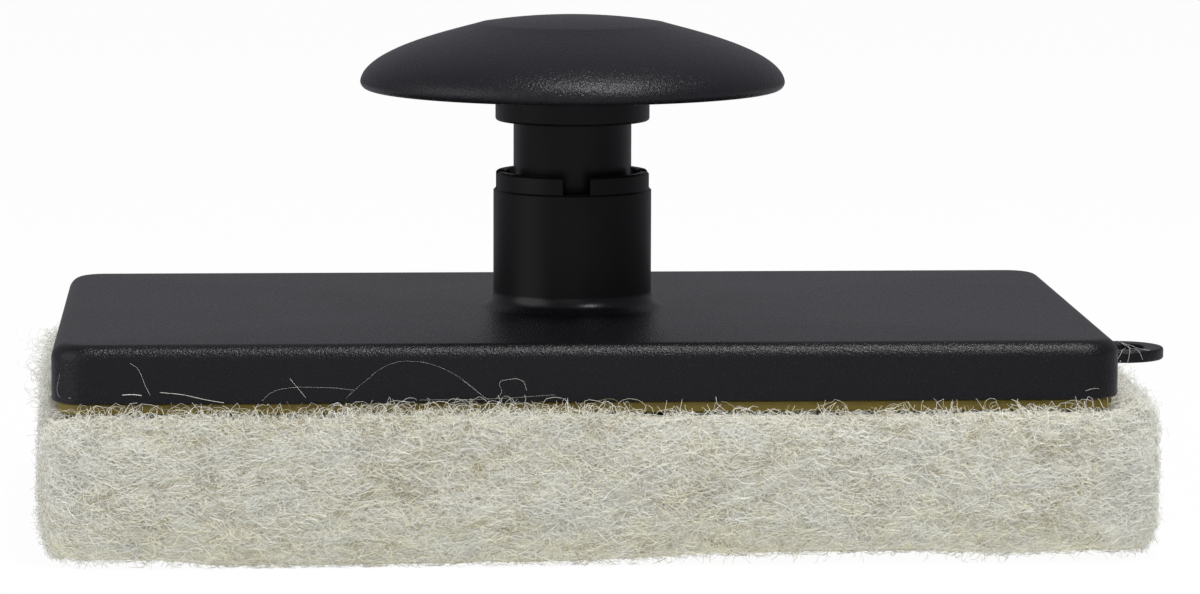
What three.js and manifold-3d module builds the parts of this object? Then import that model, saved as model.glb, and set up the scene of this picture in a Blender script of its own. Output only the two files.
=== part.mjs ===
// A palm-knob scrub pad holder. A moulded plate carries a socket and a hanging ring, a sheet of small
// hooks under the plate grips a thick fibre pad, and a mushroom knob plugs into the socket by its stem.
// Millimetres, +Z up. The origin is on the stem's axis, level with the pad's scrubbing face.
// The front is towards -Y, and the hanging ring points along +X.
import * as THREE from "three";
import { mergeGeometries, mergeVertices } from "three/addons/utils/BufferGeometryUtils.js";
import Module from "manifold-3d";

const wasm = await Module();
wasm.setup();

// Gap between neighbouring pieces, and the facets of round forms
const fitGap = 0.3;
const roundSegments = 48;
const smallSegments = 16;
const curveSteps = 6;
const arcSteps = 3;
const ringSteps = 8;
const hookSides = 3;

// Scrub pad, pressed on by hand a little towards the hanging ring
const padLength = 229;
const padDepth = 142;
const padThickness = 30.4;
const padCornerRadius = 12;
const padSideDraw = 3;
const padSideRise = 10;
const padShift = 3.2;

// Hook sheet, with coarse hooks for the real sheet's fine ones
const sheetThickness = 1.2;
const sheetInset = 1.2;
const hookHeight = 0.9;
const hookFootRadius = 0.9;
const hookTipRadius = 0.55;
const hookPitch = 12;
const hookMargin = 6;

// Holder plate, a shell with ribs underneath
const plateLength = 218;
const plateDepth = 130;
const plateHeight = 11.9;
const plateCornerRadius = 8;
const plateEdgeRound = 3.2;
const plateSideWall = 2.4;
const plateTopWall = 2.6;
const ribThickness = 1.8;
const ribsAcross = 5;
const ribsAlong = 3;

// Socket on the plate, with a notched rim
const socketRadius = 16.85;
const socketHeight = 25.3;
const socketFootRound = 4.5;
const socketFloor = 2.4;
const rimStep = 0.4;
const rimHeight = 3.7;
const rimWall = 2;
const rimEdge = 0.4;
const notchWidth = 5.8;
const notchCount = 4;
const guideRibCount = 8;
const guideRibWidth = 2;
const guideRibDrop = 7;

// Hanging ring
const ringReach = 18.5;
const ringWidth = 18.8;
const ringBand = 4.2;
const ringThickness = 2.5;
const ringRootRound = 2.5;

// Knob stem
const stemRadius = 12.57;
const stemWall = 3;
const stemTopWall = 3;
const stemEndChamfer = 1.2;
const stemShow = 10.8;
const collarRadius = 16.43;
const collarEdge = 0.6;

// Palm knob: a flat cap, a sloping shoulder and a rounded lip
const knobLift = 8.4;
const knobRadius = 45.2;
const knobRise = 13.9;
const knobCapRadius = 19.8;
const knobCapDrop = 1.6;
const knobShoulderReach = 5.6;
const knobShoulderDrop = 1.7;
const knobBrowRise = 6.6;
const knobBrowInset = 0.8;
const knobLipRound = 1.6;
const knobLipWidth = 1.8;
const knobWall = 2.6;
const knobLedge = 2;
const bossRadius = 7;

// Dished underside of the knob, with a groove for the fingertips
const dishThickness = 2.2;
const dishRise = 1.5;
const dishRecess = 0.4;
const dishGroove = 4;
const dishLand = 2;

// Screw and washer that hold the stem to the knob
const screwRadius = 1.9;
const screwHeadRadius = 4.2;
const screwHeadHeight = 2.6;
const screwHeadRound = 0.8;
const screwPoint = 1.2;
const screwTipCover = 0.6;
const washerRadius = 5.2;
const washerThickness = 0.8;

// Latch spring in the stem, its stud, and the release button
const springWidth = 8;
const springThickness = 0.7;
const springInset = 1.5;
const springOverrun = 3;
const studRadius = 3;
const studRound = 1.4;
const studShy = 0.8;
const latchDrop = 12;
const buttonRadius = 3.5;
const buttonProud = 3;
const buttonRound = 1;
const flangeOverlap = 1.1;
const flangeThickness = 1.2;

// Levels, from the scrubbing face up
const hookTipLevel = padThickness + fitGap;
const sheetBottom = hookTipLevel + hookHeight;
const sheetTop = sheetBottom + sheetThickness;
const plateBottom = sheetTop + fitGap;
const plateTop = plateBottom + plateHeight;
const plateCeiling = plateTop - plateTopWall;
const boreFloor = plateBottom + socketFloor;
const stepLevel = plateTop + socketHeight;
const rimLevel = stepLevel + rimHeight;
const stemBottom = boreFloor + fitGap;
const collarBottom = rimLevel + stemShow;
const knobEquator = collarBottom + knobLift;
const knobTop = knobEquator + knobRise;
const lipBottom = knobEquator - knobLipRound;
const dishFace = lipBottom + dishRise;
const dishEdge = lipBottom + dishRecess;
const collarTop = dishFace - fitGap;
const stemTop = dishFace + dishThickness;
const stemCeiling = stemTop - stemTopWall;
const bossBottom = stemTop + fitGap;
const screwTip = knobTop - knobWall - screwTipCover;
const washerTop = stemCeiling - fitGap;
const washerBottom = washerTop - washerThickness;
const screwHeadTop = washerBottom - fitGap;
const latchLevel = stepLevel - latchDrop;
const buttonLevel = rimLevel + stemShow / 2;

// Radii and depths that follow from the seats
const rimRadius = socketRadius - rimStep;
const boreRadius = rimRadius - rimWall;
const guideRadius = stemRadius + fitGap;
const stemBore = stemRadius - stemWall;
const screwHole = screwRadius + fitGap;
const lipInner = knobRadius - knobLipRound - knobLipWidth;
const dishRadius = lipInner - fitGap;
const dishHole = stemRadius + fitGap;
const dishShoulder = collarRadius + dishLand;
const dishSeat = dishRadius - knobLedge - dishLand;
const flangeRadius = buttonRadius + flangeOverlap;
const flangeOuter = chordDepth(stemBore, flangeRadius) - fitGap;
const flangeInner = flangeOuter - flangeThickness;
const springRear = flangeInner - fitGap;
const springFront = fitGap - chordDepth(stemBore, springWidth / 2);
const studTip = socketRadius - studShy;
const buttonTip = stemRadius + buttonProud;

// Distance from a circle's centre to the middle of a chord.
function chordDepth(radius, halfChord) {
  return Math.sqrt(radius * radius - halfChord * halfChord);
}

// A closed three.js geometry as a solid that can be joined and cut.
function solidOf(geometry) {
  const bare = geometry.index ? geometry.toNonIndexed() : geometry.clone();
  bare.deleteAttribute("normal");
  bare.deleteAttribute("uv");
  const merged = mergeVertices(bare, 1e-3);
  const corners = [];
  for (let i = 0; i < merged.index.count; i += 3) {
    const [a, b, c] = merged.index.array.subarray(i, i + 3);
    if (a !== b && b !== c && c !== a) corners.push(a, b, c);
  }
  const build = (list) =>
    new wasm.Manifold(
      new wasm.Mesh({
        numProp: 3,
        vertProperties: merged.attributes.position.array,
        triVerts: new Uint32Array(list),
      }),
    );
  const solid = build(corners);
  return solid.volume() < 0 ? build(corners.reverse()) : solid;
}

// A solid back as a geometry for a mesh.
function geometryOf(solid) {
  const mesh = solid.getMesh();
  const geometry = new THREE.BufferGeometry();
  geometry.setAttribute("position", new THREE.BufferAttribute(mesh.vertProperties, 3));
  geometry.setIndex(new THREE.BufferAttribute(mesh.triVerts, 1));
  geometry.computeVertexNormals();
  return geometry;
}

// A profile of [radius, height] pairs turned about the Z axis.
function revolved(profile, segments = roundSegments) {
  const points = profile.map(([radius, height]) => new THREE.Vector2(radius, height));
  return new THREE.LatheGeometry(points, segments).rotateX(Math.PI / 2);
}

// The same, turned about a line along +Y at the given level.
function revolvedAlongY(profile, level) {
  return revolved(profile, smallSegments).rotateX(-Math.PI / 2).translate(0, 0, level);
}

function disc(radius, bottom, top) {
  return revolved([[0, bottom], [radius, bottom], [radius, top], [0, top]]);
}

function rodAlongY(radius, start, end, level) {
  return revolvedAlongY([[0, start], [radius, start], [radius, end], [0, end]], level);
}

function block(width, depth, bottom, top, x = 0, y = 0) {
  return new THREE.BoxGeometry(width, depth, top - bottom).translate(x, y, (bottom + top) / 2);
}

function roundedRectangle(length, depth, radius) {
  const x = length / 2 - radius;
  const y = depth / 2 - radius;
  const centres = [[x, y], [-x, y], [-x, -y], [x, -y]];
  const shape = new THREE.Shape();
  centres.forEach(([cx, cy], quarter) => {
    const start = (quarter * Math.PI) / 2;
    shape.absarc(cx, cy, radius, start, start + Math.PI / 2);
  });
  return shape;
}

function extruded(shape, bottom, top, steps = arcSteps) {
  const options = { depth: top - bottom, bevelEnabled: false, curveSegments: steps };
  return new THREE.ExtrudeGeometry(shape, options).translate(0, 0, bottom);
}

// An extruded outline whose edges draw in by inset over a height of rise, at its top and bottom.
function pillow(shape, bottom, top, inset, rise) {
  const options = {
    depth: top - bottom - 2 * rise,
    bevelThickness: rise,
    bevelSize: inset,
    bevelOffset: -inset,
    bevelSegments: arcSteps,
    curveSegments: arcSteps,
  };
  return new THREE.ExtrudeGeometry(shape, options).translate(0, 0, bottom + rise);
}

// Points of a curve, as [radius, height] pairs.
function pairs(path, divisions) {
  return path.getPoints(divisions).map((point) => [point.x, point.y]);
}

// A fibre block with rounded corners and sides that swell between the drawn-in faces.
function scrubPad() {
  const outline = roundedRectangle(padLength, padDepth, padCornerRadius);
  return pillow(outline, 0, padThickness, padSideDraw, padSideRise).translate(padShift, 0, 0);
}

// Rows of small tapered hooks that hang from one thin sheet.
function hookSheet() {
  const length = plateLength - 2 * sheetInset;
  const depth = plateDepth - 2 * sheetInset;
  const outline = roundedRectangle(length, depth, plateCornerRadius - sheetInset);
  const columns = Math.floor((length - 2 * hookMargin) / hookPitch);
  const rows = Math.floor((depth - 2 * hookMargin) / hookPitch);
  const root = sheetThickness / 2;
  const hook = new THREE.CylinderGeometry(hookFootRadius, hookTipRadius, hookHeight + root, hookSides);
  hook.rotateX(Math.PI / 2).translate(0, 0, hookTipLevel + (hookHeight + root) / 2);
  const hooks = [];
  for (let column = 0; column <= columns; column++) {
    for (let row = 0; row <= rows; row++) {
      const x = (column - columns / 2) * hookPitch;
      const y = (row - rows / 2) * hookPitch;
      hooks.push(hook.clone().translate(x, y, 0));
    }
  }
  const sheet = solidOf(extruded(outline, sheetBottom, sheetTop));
  return geometryOf(sheet.add(solidOf(mergeGeometries(hooks))));
}

// The hollow under the plate: a rounded pocket, crossed by ribs and by the root of the socket.
function plateHollow() {
  const innerLength = plateLength - 2 * plateSideWall;
  const innerDepth = plateDepth - 2 * plateSideWall;
  const outline = roundedRectangle(innerLength, innerDepth, plateCornerRadius - plateSideWall);
  const below = plateBottom - plateHeight;
  let hollow = solidOf(extruded(outline, below, plateCeiling));
  for (let i = 1; i <= ribsAcross; i++) {
    const x = plateLength * (i / (ribsAcross + 1) - 0.5);
    hollow = hollow.subtract(solidOf(block(ribThickness, plateDepth, below - fitGap, plateTop, x, 0)));
  }
  for (let i = 1; i <= ribsAlong; i++) {
    const y = plateDepth * (i / (ribsAlong + 1) - 0.5);
    hollow = hollow.subtract(solidOf(block(plateLength, ribThickness, below - fitGap, plateTop, 0, y)));
  }
  return hollow.subtract(solidOf(disc(socketRadius, below - fitGap, plateTop)));
}

// A flat tab with a round end and a hole. Its lower part is cut off level with the plate.
function hangingRing() {
  const wall = plateLength / 2;
  const root = wall - plateSideWall / 2;
  const half = ringWidth / 2;
  const centre = wall + ringReach - half;
  const shape = new THREE.Shape();
  shape.moveTo(root, -half - ringRootRound);
  shape.lineTo(wall, -half - ringRootRound);
  shape.absarc(wall + ringRootRound, -half - ringRootRound, ringRootRound, Math.PI, Math.PI / 2, true);
  shape.absarc(centre, 0, half, -Math.PI / 2, Math.PI / 2);
  shape.absarc(wall + ringRootRound, half + ringRootRound, ringRootRound, -Math.PI / 2, -Math.PI, true);
  shape.lineTo(root, half + ringRootRound);
  shape.holes.push(new THREE.Path().absarc(centre, 0, half - ringBand, 0, 2 * Math.PI, true));
  return extruded(shape, plateBottom - ringThickness, plateBottom + ringThickness, ringSteps);
}

// The outside of the socket, with its rounded foot on the plate and its stepped rim.
function socketBody() {
  const foot = socketRadius + socketFootRound;
  const sunk = plateTop - plateTopWall / 2;
  const arc = new THREE.Path();
  arc.absarc(foot, plateTop + socketFootRound, socketFootRound, -Math.PI / 2, -Math.PI, true);
  return revolved([
    [0, sunk],
    [foot, sunk],
    ...pairs(arc, arcSteps),
    [socketRadius, stepLevel - rimStep],
    [rimRadius, stepLevel],
    [rimRadius, rimLevel - rimEdge],
    [rimRadius - rimEdge, rimLevel],
    [0, rimLevel],
  ]);
}

// Upright ribs in the socket's bore that steady the stem.
function guideRibs() {
  const inner = guideRadius;
  const outer = boreRadius + rimWall / 2;
  const top = rimLevel - guideRibDrop;
  const ribs = [];
  for (let i = 0; i < guideRibCount; i++) {
    const rib = block(outer - inner, guideRibWidth, boreFloor - socketFloor / 2, top, (inner + outer) / 2, 0);
    ribs.push(rib.rotateZ(((i + 0.5) * 2 * Math.PI) / guideRibCount));
  }
  return mergeGeometries(ribs);
}

// Plate, socket and hanging ring are one moulding, rounded along the plate's top edge.
function padHolder() {
  const outline = roundedRectangle(plateLength, plateDepth, plateCornerRadius);
  const below = plateBottom - 2 * plateEdgeRound;
  const underneath = block(2 * plateLength, 2 * plateDepth, below - plateHeight, plateBottom);
  let holder = solidOf(pillow(outline, below, plateTop, plateEdgeRound, plateEdgeRound));
  holder = holder.add(solidOf(hangingRing())).subtract(solidOf(underneath)).subtract(plateHollow());
  holder = holder.add(solidOf(socketBody()));
  holder = holder.subtract(solidOf(disc(boreRadius, boreFloor, rimLevel + rimHeight)));
  holder = holder.add(solidOf(guideRibs()));
  for (let i = 0; i < notchCount; i++) {
    const notch = block(socketRadius, notchWidth, stepLevel, rimLevel + rimHeight, socketRadius, 0);
    holder = holder.subtract(solidOf(notch.rotateZ((i * 2 * Math.PI) / notchCount)));
  }
  const latchHole = rodAlongY(studRadius + fitGap, stemRadius, socketRadius + rimWall, latchLevel);
  return geometryOf(holder.subtract(solidOf(latchHole)));
}

// The crown line of the knob, from its middle out to its widest circle.
function crownLine() {
  const capEdge = knobTop - knobCapDrop;
  const line = new THREE.Path();
  line.moveTo(0, knobTop);
  line.quadraticCurveTo(knobCapRadius / 2, knobTop, knobCapRadius, capEdge);
  line.bezierCurveTo(
    knobCapRadius + knobShoulderReach,
    capEdge - knobShoulderDrop,
    knobRadius - knobBrowInset,
    knobEquator + knobBrowRise,
    knobRadius,
    knobEquator,
  );
  return line;
}

// A line of points moved in by the wall's thickness, square to the line.
function movedIn(points, thickness) {
  return points.map((point, i) => {
    const before = points[Math.max(i - 1, 0)];
    const after = points[Math.min(i + 1, points.length - 1)];
    const along = after.clone().sub(before).normalize();
    return [point.x + along.y * thickness, point.y - along.x * thickness];
  });
}

// The level of a line of [radius, level] pairs at one radius.
function levelAt(line, radius) {
  const next = line.findIndex(([reach]) => reach > radius);
  const [r0, z0] = line[next - 1];
  const [r1, z1] = line[next];
  return z0 + ((z1 - z0) * (radius - r0)) / (r1 - r0);
}

// The hollow crown in one turned profile, with a ledge for the dish and a boss for the screw.
function knobShell() {
  const crown = crownLine();
  const lip = new THREE.Path();
  lip.absarc(knobRadius - knobLipRound, knobEquator, knobLipRound, 0, -Math.PI / 2, true);
  const ledgeLevel = dishEdge + dishThickness + fitGap;
  const throat = lipInner - knobLedge;
  const inside = movedIn(crown.getPoints(curveSteps), knobWall);
  const ceiling = inside.filter(([radius]) => radius > bossRadius && radius < throat).reverse();
  const profile = [
    ...pairs(crown, curveSteps),
    ...pairs(lip, arcSteps),
    [lipInner, lipBottom],
    [lipInner, ledgeLevel],
    [throat, ledgeLevel],
    [throat, levelAt(inside, throat)],
    ...ceiling,
    [bossRadius, levelAt(inside, bossRadius)],
    [bossRadius, bossBottom],
    [screwHole, bossBottom],
    [screwHole, screwTip + fitGap],
    [0, screwTip + fitGap],
  ];
  return geometryOf(solidOf(revolved(profile)));
}

// A ring that closes the crown from below, arched over the fingertips.
function knobUnderside() {
  const arch = new THREE.Path();
  arch.moveTo(dishShoulder, dishFace);
  arch.quadraticCurveTo((dishShoulder + dishSeat) / 2, dishFace + dishGroove, dishSeat, dishEdge);
  const lower = [[dishHole, dishFace], ...pairs(arch, curveSteps), [dishRadius, dishEdge]];
  const upper = lower.map(([radius, level]) => [radius, level + dishThickness]).reverse();
  return geometryOf(solidOf(revolved([...lower, ...upper, lower[0]])));
}

// A hollow plug with a collar, closed at the top, with holes at the back for the stud and the button.
function knobStem() {
  const body = solidOf(
    revolved([
      [stemBore, stemBottom],
      [stemRadius - stemEndChamfer, stemBottom],
      [stemRadius, stemBottom + stemEndChamfer],
      [stemRadius, collarBottom],
      [collarRadius - collarEdge, collarBottom],
      [collarRadius, collarBottom + collarEdge],
      [collarRadius, collarTop],
      [stemRadius, collarTop],
      [stemRadius, stemTop],
      [screwHole, stemTop],
      [screwHole, stemCeiling],
      [stemBore, stemCeiling],
      [stemBore, stemBottom],
    ]),
  );
  const studHole = rodAlongY(studRadius + fitGap, 0, collarRadius, latchLevel);
  const buttonHole = rodAlongY(buttonRadius + fitGap, 0, collarRadius, buttonLevel);
  return geometryOf(body.subtract(solidOf(studHole)).subtract(solidOf(buttonHole)));
}

function stemScrew() {
  const headBottom = screwHeadTop - screwHeadHeight;
  const profile = [
    [0, headBottom],
    [screwHeadRadius - screwHeadRound, headBottom],
    [screwHeadRadius, headBottom + screwHeadRound],
    [screwHeadRadius, screwHeadTop],
    [screwRadius, screwHeadTop],
    [screwRadius, screwTip - screwPoint],
    [0, screwTip],
  ];
  return geometryOf(solidOf(revolved(profile, smallSegments)));
}

function screwWasher() {
  const profile = [
    [screwHole, washerBottom],
    [washerRadius, washerBottom],
    [washerRadius, washerTop],
    [screwHole, washerTop],
    [screwHole, washerBottom],
  ];
  return geometryOf(solidOf(revolved(profile, smallSegments)));
}

// The end of a round pin with a rounded rim, as [radius, distance] pairs up to its middle.
function pinEnd(radius, tip, round) {
  const rim = new THREE.Path();
  rim.absarc(radius - round, tip - round, round, 0, Math.PI / 2);
  return [...pairs(rim, arcSteps), [0, tip]];
}

// A strip bent into a U, whose rear leg carries the stud that locks the stem in the socket.
function latchSpring() {
  const middle = (springRear + springFront) / 2;
  const outer = (springRear - springFront) / 2;
  const bend = stemBottom + springInset + outer;
  const rearTop = buttonLevel + springOverrun;
  const frontTop = latchLevel + springOverrun;
  const side = new THREE.Shape();
  side.moveTo(springRear, rearTop);
  side.absarc(middle, bend, outer, 0, -Math.PI, true);
  side.lineTo(springFront, frontTop);
  side.lineTo(springFront + springThickness, frontTop);
  side.absarc(middle, bend, outer - springThickness, -Math.PI, 0);
  side.lineTo(springRear - springThickness, rearTop);
  const strip = extruded(side, -springWidth / 2, springWidth / 2);
  const axes = [new THREE.Vector3(0, 1, 0), new THREE.Vector3(0, 0, 1), new THREE.Vector3(1, 0, 0)];
  strip.applyMatrix4(new THREE.Matrix4().makeBasis(...axes));
  const root = springRear - springThickness / 2;
  const stud = [[0, root], [studRadius, root], ...pinEnd(studRadius, studTip, studRound)];
  return geometryOf(solidOf(strip).add(solidOf(revolvedAlongY(stud, latchLevel))));
}

// A round button that a flange keeps inside the stem.
function releaseButton() {
  const profile = [
    [0, flangeInner],
    [flangeRadius, flangeInner],
    [flangeRadius, flangeOuter],
    [buttonRadius, flangeOuter],
    ...pinEnd(buttonRadius, buttonTip, buttonRound),
  ];
  return geometryOf(solidOf(revolvedAlongY(profile, buttonLevel)));
}

const blackPlastic = { color: 0x232124, roughness: 0.6, metalness: 0 };
const smoothBlackPlastic = { color: 0x141416, roughness: 0.4, metalness: 0 };
const yellowPlastic = { color: 0x9c7d22, roughness: 0.6, metalness: 0 };
const creamFibre = { color: 0xd8d2c2, roughness: 0.95, metalness: 0 };
const springSteel = { color: 0xb9bbbd, roughness: 0.35, metalness: 1 };

const scrubber = new THREE.Group();

function addPiece(name, geometry, look) {
  const mesh = new THREE.Mesh(geometry, new THREE.MeshStandardMaterial(look));
  mesh.name = name;
  scrubber.add(mesh);
}

addPiece("scrub_pad", scrubPad(), creamFibre);
addPiece("hook_sheet", hookSheet(), yellowPlastic);
addPiece("pad_holder", padHolder(), blackPlastic);
addPiece("knob_shell", knobShell(), blackPlastic);
addPiece("knob_underside", knobUnderside(), blackPlastic);
addPiece("knob_stem", knobStem(), smoothBlackPlastic);
addPiece("stem_screw", stemScrew(), springSteel);
addPiece("screw_washer", screwWasher(), springSteel);
addPiece("latch_spring", latchSpring(), springSteel);
addPiece("release_button", releaseButton(), smoothBlackPlastic);

export default scrubber;
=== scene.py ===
# Palm-knob scrub pad holder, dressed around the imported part. Sizes in the dictionaries are millimetres.
import math

import bmesh
import bpy
from mathutils import Matrix, Vector, noise


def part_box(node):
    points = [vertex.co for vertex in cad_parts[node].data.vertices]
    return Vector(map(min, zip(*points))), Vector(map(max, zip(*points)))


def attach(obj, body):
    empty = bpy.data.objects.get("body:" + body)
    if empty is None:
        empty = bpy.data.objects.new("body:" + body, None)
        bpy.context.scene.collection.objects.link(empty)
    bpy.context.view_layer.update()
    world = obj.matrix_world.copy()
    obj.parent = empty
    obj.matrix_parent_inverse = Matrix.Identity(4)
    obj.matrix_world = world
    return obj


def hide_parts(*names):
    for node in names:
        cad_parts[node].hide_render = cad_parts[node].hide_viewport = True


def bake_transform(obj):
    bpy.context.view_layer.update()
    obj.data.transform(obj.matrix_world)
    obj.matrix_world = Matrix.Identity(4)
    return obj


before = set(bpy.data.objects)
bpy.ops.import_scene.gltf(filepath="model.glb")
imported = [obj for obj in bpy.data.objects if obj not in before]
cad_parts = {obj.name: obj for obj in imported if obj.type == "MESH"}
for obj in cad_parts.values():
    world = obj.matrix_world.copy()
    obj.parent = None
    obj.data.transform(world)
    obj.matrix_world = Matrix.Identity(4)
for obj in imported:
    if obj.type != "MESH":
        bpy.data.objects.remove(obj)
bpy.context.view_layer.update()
scene = bpy.context.scene
mm = 0.001
weldGap = 0.001  # corners nearer than this become one
sharpAngle = 32.0  # degrees between two faces, past which their edge is left sharp


def boxOf(node):
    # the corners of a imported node's box, in millimetres
    return [[round(side / mm, 3) for side in corner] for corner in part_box(node)]


class Wire:
    # a node's output that takes part in plain sums, each of which adds a Math node
    def __init__(self, tree, socket):
        self.tree = tree
        self.socket = socket

    def math(self, operation, *others):
        return addNode(self.tree, "ShaderNodeMath", [self, *others], operation=operation)

    def __add__(self, other):
        return self.math("ADD", other)

    __radd__ = __add__

    def __sub__(self, other):
        return self.math("SUBTRACT", other)

    def __rsub__(self, other):
        return addNode(self.tree, "ShaderNodeMath", [other, self], operation="SUBTRACT")

    def __mul__(self, other):
        return self.math("MULTIPLY", other)

    def __rtruediv__(self, other):
        return addNode(self.tree, "ShaderNodeMath", [other, self], operation="DIVIDE")

    def __pow__(self, other):
        return self.math("POWER", other)

    def __lt__(self, other):
        return self.math("LESS_THAN", other)

    def __gt__(self, other):
        return self.math("GREATER_THAN", other)

    def __abs__(self):
        return self.math("ABSOLUTE")


# node helpers
def addNode(tree, kind, values=(), output=0, **settings):
    node = tree.nodes.new(kind)
    for name, value in settings.items():
        setattr(node, name, value)
    pairs = values.items() if isinstance(values, dict) else enumerate(values)
    for key, value in pairs:
        if isinstance(value, Wire):
            tree.links.new(value.socket, node.inputs[key])
        elif value is not None:
            node.inputs[key].default_value = value
    return Wire(tree, node.outputs[output]) if node.outputs else None


def geoNode(tree, kind, values=()):
    return addNode(tree, "GeometryNode" + kind, values)


def vectorMath(operation, first, *others, output=0):
    return addNode(first.tree, "ShaderNodeVectorMath", [first, *others], output, operation=operation)


def scaled(vector, size):
    return addNode(vector.tree, "ShaderNodeVectorMath", {0: vector, "Scale": size}, operation="SCALE")


def apart(vector):
    node = addNode(vector.tree, "ShaderNodeSeparateXYZ", [vector]).socket.node
    return [Wire(vector.tree, socket) for socket in node.outputs]


def together(tree, x=0.0, y=0.0, z=0.0):
    return addNode(tree, "ShaderNodeCombineXYZ", [x, y, z])


def chance(low, high, seed, which=None):
    # a random value, one for each point, or one for each curve where its number is given
    values = {2: low, 3: high, 7: which, 8: seed}
    return addNode(seed.tree, "FunctionNodeRandomValue", values, 1, data_type="FLOAT")


def blendColours(share, first, second):
    values = {0: share, 6: first, 7: second}
    return addNode(share.tree, "ShaderNodeMix", values, 2, data_type="RGBA", clamp_factor=True)


def smoothRange(value, span, unit=1.0):
    low, high = (side * unit for side in span)
    return addNode(value.tree, "ShaderNodeMapRange", [value, low, high], interpolation_type="SMOOTHSTEP")


def noiseAt(place, size, detail=2.0, roughness=0.5):
    values = {"Vector": place, "Scale": 1 / (size * mm), "Detail": detail, "Roughness": roughness}
    return addNode(place.tree, "ShaderNodeTexNoise", values)


def bumpOf(height, depth, strength=1.0):
    values = {"Strength": strength, "Distance": depth * mm, "Height": height}
    return addNode(height.tree, "ShaderNodeBump", values)


def objectPlace(finish):
    return addNode(finish.node_tree, "ShaderNodeTexCoord", output="Object")


def rgb(red, green, blue):
    return (red, green, blue, 1.0)


def newFinish(name):
    finish = bpy.data.materials.new(name)
    finish.use_nodes = True
    finish.node_tree.nodes.clear()
    return finish


def closeFinish(finish, tone, rough, bump=None, gloss=0.5, metal=0.0):
    sockets = {"Base Color": tone, "Roughness": rough, "Normal": bump, "Specular IOR Level": gloss,
               "Metallic": metal}
    shader = addNode(finish.node_tree, "ShaderNodeBsdfPrincipled", sockets)
    addNode(finish.node_tree, "ShaderNodeOutputMaterial", {"Surface": shader})
    return finish


def pick(sizes, names):
    return [sizes[name] for name in names.split()]


def placed(name, data):
    item = bpy.data.objects.new(name, data)
    scene.collection.objects.link(item)
    return item


# camera: fitted to the plate's edges, the socket's rim, the collar and the knob
cameraSizes = {"lens": 171.0, "sensor": 36.0, "place": (-66.754, -1208.521, 192.992), "yaw": 0.0601139,
               "pitch": 0.1202088, "roll": 0.0028751}


def addCamera(sizes):
    data = bpy.data.cameras.new("photoCamera")
    data.sensor_fit = "HORIZONTAL"
    data.sensor_width = sizes["sensor"]
    data.lens = sizes["lens"]
    yaw, pitch, roll = pick(sizes, "yaw pitch roll")
    ahead = Vector((math.sin(yaw) * math.cos(pitch), math.cos(yaw) * math.cos(pitch), -math.sin(pitch)))
    level = Vector((math.cos(yaw), -math.sin(yaw), 0.0))
    up = level.cross(ahead)
    side = level * math.cos(roll) + up * math.sin(roll)
    top = up * math.cos(roll) - level * math.sin(roll)
    turned = Matrix((side, top, -ahead)).transposed().to_4x4()
    camera = placed("photoCamera", data)
    camera.matrix_world = Matrix.Translation(Vector(sizes["place"]) * mm) @ turned
    scene.camera = camera


addCamera(cameraSizes)
print("camera set")

# moulded plastics and steel
texturedLook = {
    "grain": 0.55, "fleck": 0.24, "cloud": 45.0, "depth": 0.22, "fleckShare": 0.3, "sleekRange": 1.2,
    "sleekShare": 0.92, "dark": rgb(0.0048, 0.0044, 0.0060), "pale": rgb(0.0065, 0.0061, 0.0078),
    "peak": rgb(0.013, 0.0125, 0.0140), "peakRange": (0.5, 0.72), "peakShare": 0.5, "rough": 0.26,
    "cloudRough": 0.06, "peakRough": 0.05, "gloss": 0.28}
smoothLook = {
    "streak": 1.5, "stretch": 0.12, "cloud": 16.667, "cloudDetail": 3.0, "depth": 0.012, "strength": 0.3,
    "dark": rgb(0.0036, 0.0036, 0.0042), "pale": rgb(0.0060, 0.0060, 0.0066), "rough": 0.30,
    "streakRough": 0.10, "cloudRough": 0.06}
steelLook = {
    "streak": 0.4, "stretch": 0.06, "cloud": 6.667, "cloudDetail": 2.0, "depth": 0.02, "strength": 0.2,
    "dark": rgb(0.52, 0.52, 0.51), "pale": rgb(0.66, 0.66, 0.65), "rough": 0.24, "streakRough": 0.16,
    "cloudRough": 0.0}


def texturedBlack(name, look, shade, sleekFrom=None):
    # charcoal moulding with a fine spark texture, which fades above a level
    finish = newFinish(name)
    place = objectPlace(finish)
    grain = noiseAt(place, look["grain"], 2.0, 0.6)
    fleck = noiseAt(place, look["fleck"], 1.0)
    cloud = noiseAt(place, look["cloud"], 4.0, 0.6)
    height = grain * (1 - look["fleckShare"]) + fleck * look["fleckShare"]
    # the scale on the dark and pale tones can paint a copy of this moulding lighter: painted light
    dark, pale = (rgb(*[shade * part for part in look[end][:3]]) for end in ("dark", "pale"))
    peak = smoothRange(height, look["peakRange"])
    tone = blendColours(cloud, dark, pale)
    tone = blendColours(peak * look["peakShare"], tone, look["peak"])
    rough = look["rough"] + cloud * look["cloudRough"] - peak * look["peakRough"]
    if sleekFrom is not None:
        sleek = smoothRange(apart(place)[2], (sleekFrom, sleekFrom + look["sleekRange"]), mm)
        height = height * (1 - sleek * look["sleekShare"])
    return closeFinish(finish, tone, rough, bumpOf(height, look["depth"]), look["gloss"])


def streakedFinish(name, look, gloss=0.5, metal=0.0):
    # faint streaks up and down over a cloudy tone
    finish = newFinish(name)
    place = objectPlace(finish)
    flow = vectorMath("MULTIPLY", place, (1.0, 1.0, look["stretch"]))
    streak = noiseAt(flow, look["streak"], 3.0, 0.6)
    cloud = noiseAt(place, look["cloud"], look["cloudDetail"])
    tone = blendColours(cloud, look["dark"], look["pale"])
    rough = look["rough"] + streak * look["streakRough"] + cloud * look["cloudRough"]
    bump = bumpOf(streak, look["depth"], look["strength"])
    return closeFinish(finish, tone, rough, bump, gloss, metal)


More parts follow.
